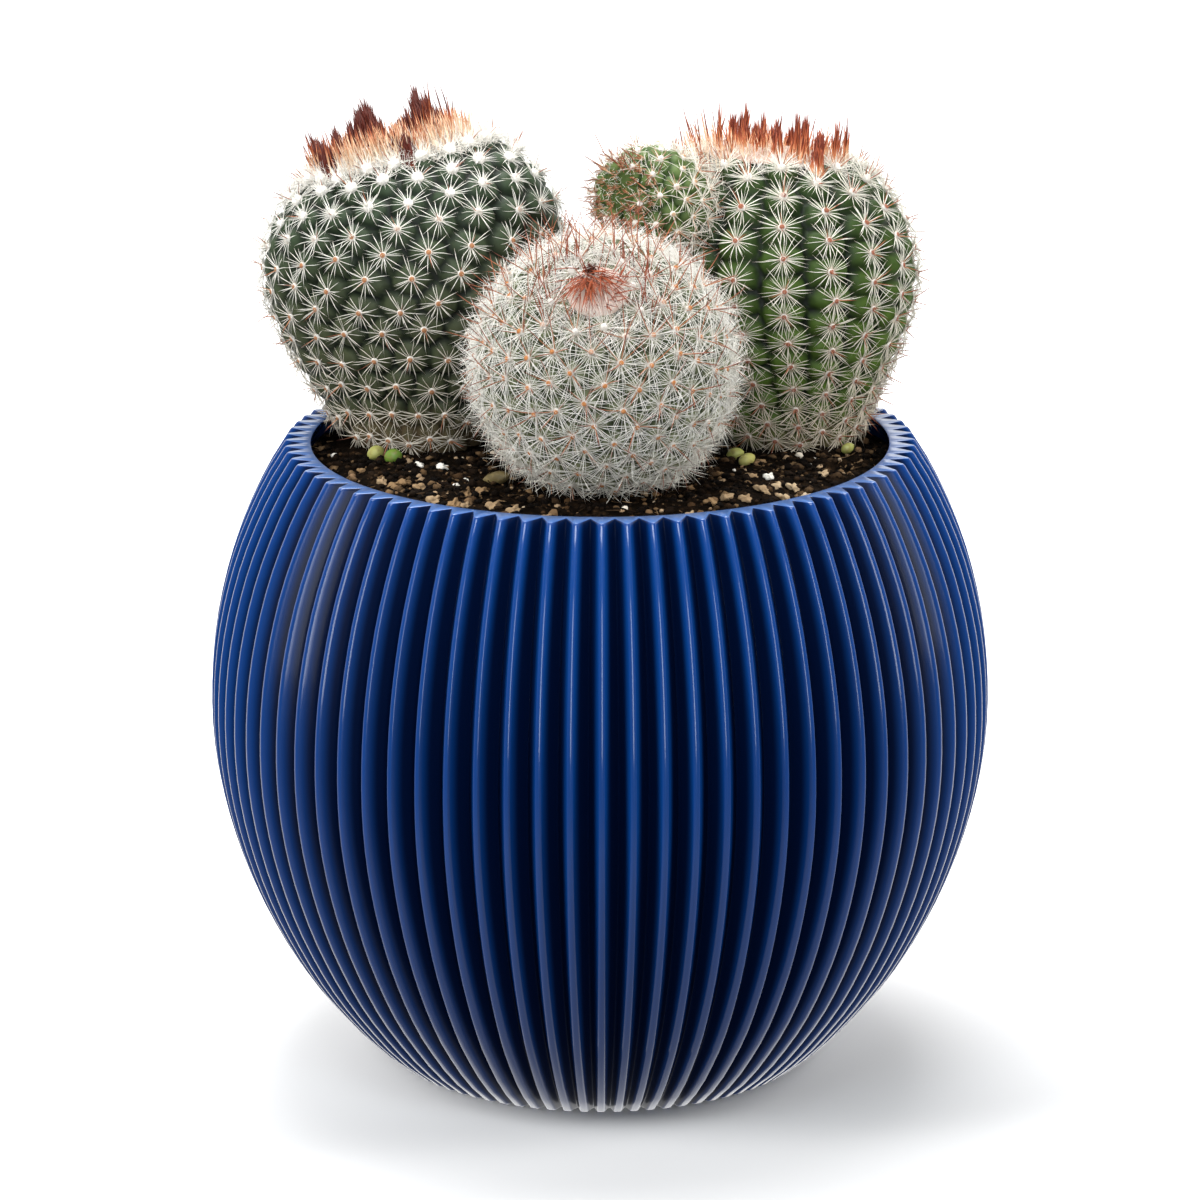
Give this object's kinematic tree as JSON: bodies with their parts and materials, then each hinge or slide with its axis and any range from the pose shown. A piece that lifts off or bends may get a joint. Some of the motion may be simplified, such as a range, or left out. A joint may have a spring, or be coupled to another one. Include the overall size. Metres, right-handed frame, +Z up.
{
  "type": "potted silver ball cactus",
  "caption": "Potted silver ball cactus: club and ball shaped stems with white spines and rust coloured crown bristles, standing in soil in a round pleated pot.",
  "frame": {"origin": "middle of the pot's foot, on the surface that the pot stands on; the height axis is the pot's own axis", "axes": "+Z up along the pot's axis, +X to the right and -Y to the front, the side with the small round stem"},
  "size_m": [0.1802, 0.1802, 0.2257],
  "materials": {
    "pot_plastic": "satin cobalt blue, finely grained",
    "soil": "dark crumbly potting soil with pale grit",
    "stem_blue_green": "waxy blue-green skin under white spines",
    "stem_fresh_green": "waxy green skin under white spines",
    "stem_silver": "green skin almost hidden by white spines",
    "crown_bristles": "white wool with rust-brown bristles"
  },
  "bodies": {
    "root": {"pot": "pot_plastic", "soil": "soil", "stem_left": "stem_blue_green", "stem_right": "stem_fresh_green", "stem_front": "stem_silver", "crown_tuft_left": "crown_bristles", "crown_tuft_right": "crown_bristles", "crown_tuft_front": "crown_bristles", "crown_tuft_offset": "crown_bristles"}
  },
  "joints": []
}
